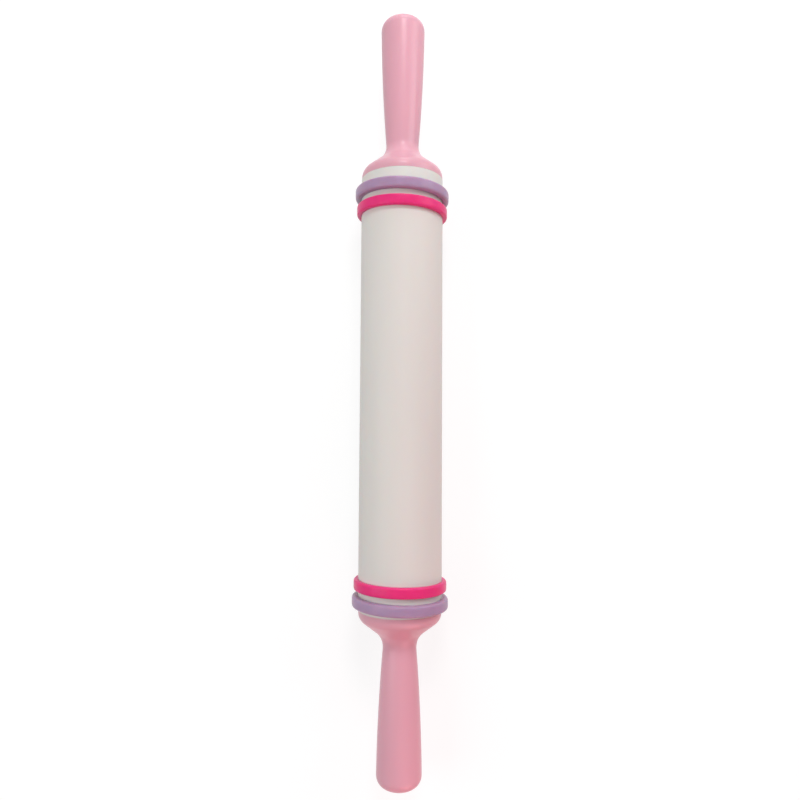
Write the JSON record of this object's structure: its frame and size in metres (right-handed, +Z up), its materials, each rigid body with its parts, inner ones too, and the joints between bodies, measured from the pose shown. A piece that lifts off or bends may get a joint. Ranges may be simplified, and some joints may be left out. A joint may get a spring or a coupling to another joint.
{
  "type": "adjustable rolling pin",
  "caption": "Rolling pin with a free-spinning white barrel, pink moulded handles, and thin and thick removable guide rings at each end that set the dough's thickness.",
  "frame": {"origin": "on the spin axis, halfway along the pin", "axes": "+X along the spin axis towards the handle that is at the top of the picture; +Z up, out of the surface that the pin lies on"},
  "size_m": [0.336, 0.0414, 0.041],
  "materials": {
    "barrel_white": "smooth satin white plastic",
    "handle_pink": "smooth pale pink moulded plastic with a soft gloss",
    "ring_pink": "hot pink silicone, smooth and slightly matt",
    "ring_lilac": "lilac silicone, smooth and slightly matt",
    "bush_nylon": "natural nylon",
    "rod_steel": "drawn steel, turned at its ends",
    "insert_brass": "knurled brass"
  },
  "bodies": {
    "handles": {"axle_rod": "rod_steel", "handle_right": "handle_pink", "handle_left": "handle_pink", "thrust_washer_right": "rod_steel", "thrust_washer_left": "rod_steel", "retaining_clip_right": "rod_steel", "retaining_clip_left": "rod_steel", "threaded_insert_right": "insert_brass", "threaded_insert_left": "insert_brass"},
    "barrel": {"barrel_tube": "barrel_white", "end_cap_right": "barrel_white", "end_cap_left": "barrel_white", "bearing_bush_right": "bush_nylon", "bearing_bush_left": "bush_nylon"},
    "ring_thin_right": {"thin_ring_right": "ring_pink"},
    "ring_thick_right": {"thick_ring_right": "ring_lilac"},
    "ring_thin_left": {"thin_ring_left": "ring_pink"},
    "ring_thick_left": {"thick_ring_left": "ring_lilac"}
  },
  "joints": [
    {"name": "barrel_spin", "type": "hinge", "parent": "handles", "child": "barrel", "pos_m": [0, 0, 0], "axis": [1, 0, 0], "continuous": true},
    {"name": "thin_right_slide", "type": "slide", "parent": "barrel", "child": "ring_thin_right", "axis": [1, 0, 0], "range_m": [-0.0761, 0.0919]},
    {"name": "thick_right_slide", "type": "slide", "parent": "ring_thin_right", "child": "ring_thick_right", "axis": [1, 0, 0], "range_m": [-0.0022, 0.0848]},
    {"name": "thin_left_slide", "type": "slide", "parent": "barrel", "child": "ring_thin_left", "axis": [-1, 0, 0], "range_m": [-0.08, 0.088]},
    {"name": "thick_left_slide", "type": "slide", "parent": "ring_thin_left", "child": "ring_thick_left", "axis": [-1, 0, 0], "range_m": [-0.0022, 0.0809]}
  ]
}
